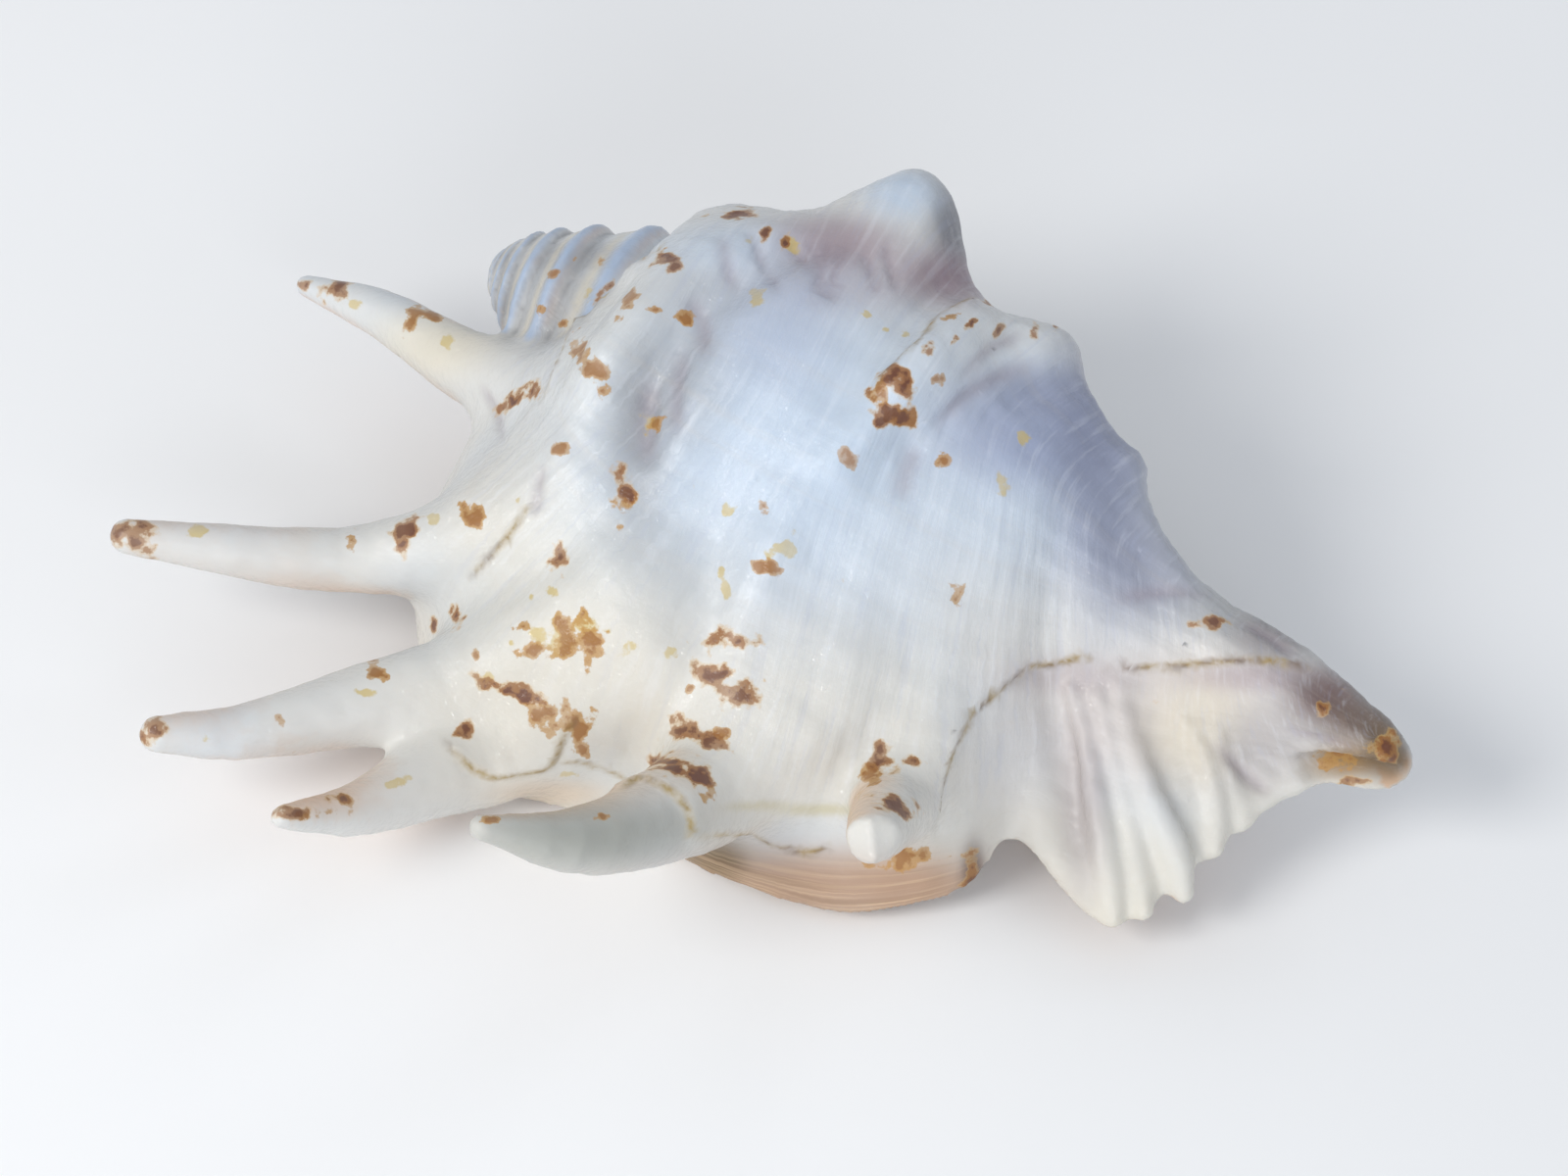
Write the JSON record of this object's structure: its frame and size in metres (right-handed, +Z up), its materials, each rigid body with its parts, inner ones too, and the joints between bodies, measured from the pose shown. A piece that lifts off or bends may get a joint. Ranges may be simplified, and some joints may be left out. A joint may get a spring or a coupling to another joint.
{
  "type": "spider conch shell",
  "caption": "Spider conch shell with a knobbed back, low spire, flared lip drawn out into long curved digits, and a short canal.",
  "frame": {"origin": "middle of the bottom face of the bounding box, on the surface the shell lies on", "axes": "+X from the point of the spire towards the canal, the lip and its digits towards -Y, +Z up with the back of the shell on top and the opening below"},
  "size_m": [0.1844, 0.136, 0.0609],
  "materials": {
    "shell": "glossy bluish white with cream lip and brown blotches"
  },
  "bodies": {
    "root": {"shell": "shell"}
  },
  "joints": []
}
